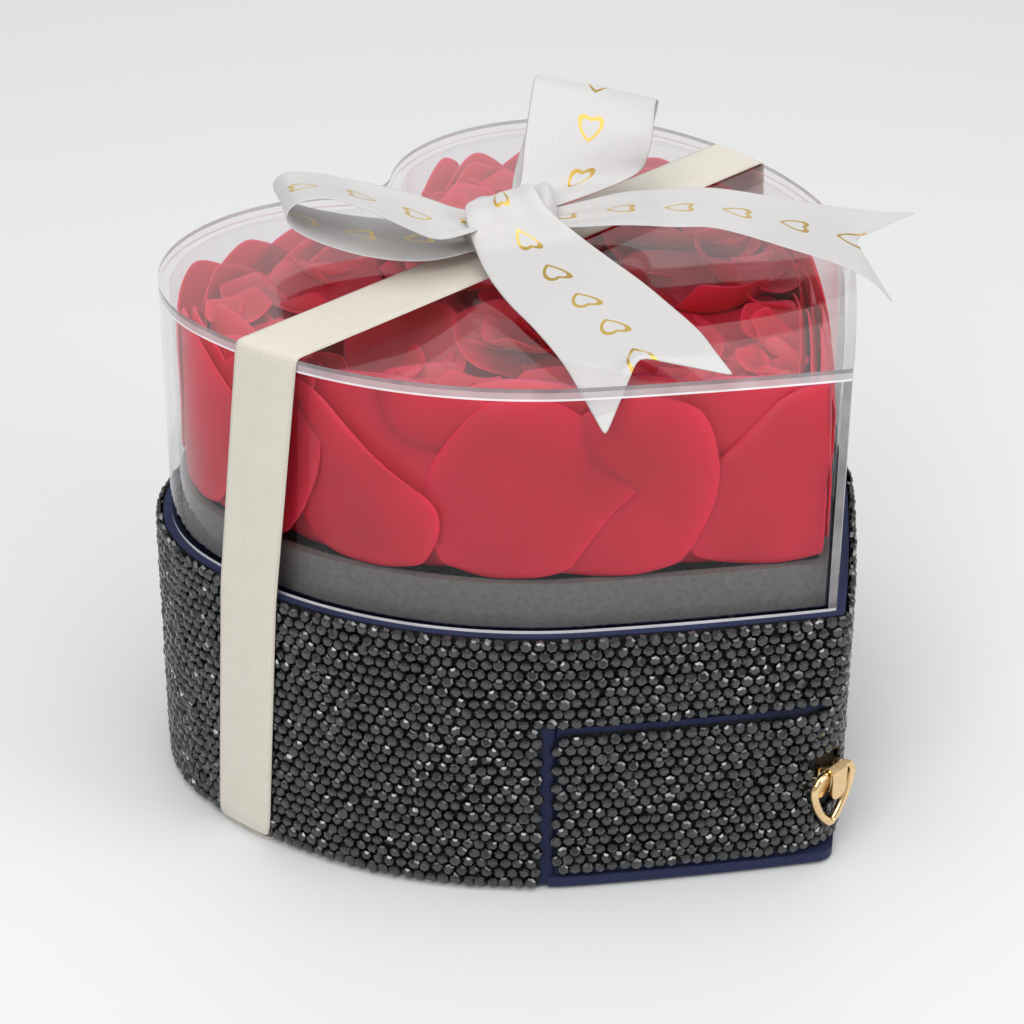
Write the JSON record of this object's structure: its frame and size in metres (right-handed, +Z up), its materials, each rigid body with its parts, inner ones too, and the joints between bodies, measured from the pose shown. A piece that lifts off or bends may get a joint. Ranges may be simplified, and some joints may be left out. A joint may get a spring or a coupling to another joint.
{
  "type": "valentine heart box",
  "caption": "Heart-shaped gift box with a stone-covered base, pull-out drawer in its point, roses under a clear lift-off lid, tied with a ribbon band and bow",
  "frame": {"origin": "on the resting plane, on the box's mirror plane, below the line that joins the two lobe centres of the heart", "axes": "+Z up, -Y toward the heart's point and the drawer front, +Y toward the cleft, +X toward the right lobe as seen from the drawer"},
  "size_m": [0.1415, 0.1371, 0.1266],
  "materials": {
    "navy_velvet": "short-pile velvet over board",
    "black_stones": "faceted black resin stones on a mesh",
    "grey_board": "dark grey paper-covered board",
    "flower_foam": "dark flower foam",
    "red_petals": "matt silky petals",
    "clear_acrylic": "clear polished acrylic",
    "cream_ribbon": "fine ribbed ribbon",
    "white_satin": "white satin ribbon with small gold foil hearts",
    "gold_metal": "polished light gold plating"
  },
  "bodies": {
    "base": {"bottom_cover": "navy_velvet", "base_floor": "navy_velvet", "base_wall": "navy_velvet", "base_rhinestones": "black_stones", "left_drawer_guide": "grey_board", "right_drawer_guide": "grey_board", "bay_back_stop": "grey_board", "shelf": "grey_board", "lid_neck": "grey_board", "foam_bed": "flower_foam", "rose_left": "red_petals", "rose_right": "red_petals", "rose_tip": "red_petals", "wall_petals": "red_petals", "ribbon_end_tabs": "cream_ribbon"},
    "drawer": {"drawer_front": "navy_velvet", "drawer_rhinestones": "black_stones", "drawer_floor": "navy_velvet", "drawer_left_side": "navy_velvet", "drawer_right_side": "navy_velvet", "drawer_back": "navy_velvet", "jewellery_insert": "navy_velvet", "pull_bracket": "gold_metal", "pull_rivet": "gold_metal"},
    "pull": {"pull_ring": "gold_metal"},
    "lid": {"lid_wall": "clear_acrylic", "lid_top": "clear_acrylic", "ribbon_band": "cream_ribbon", "bow_knot": "white_satin", "bow_left_loop": "white_satin", "bow_upper_loop": "white_satin", "bow_front_tail": "white_satin", "bow_right_tail": "white_satin"}
  },
  "joints": [
    {"name": "drawer_slide", "type": "slide", "parent": "base", "child": "drawer", "axis": [0, -1, 0], "range_m": [0, 0.065]},
    {"name": "pull_swing", "type": "hinge", "parent": "drawer", "child": "pull", "pos_m": [0, -0.096, 0.0208], "axis": [-1, 0, 0], "range_deg": [0, 110]},
    {"name": "lid_lift", "type": "slide", "parent": "base", "child": "lid", "axis": [0, 0, 1], "range_m": [0, 0.11]}
  ]
}
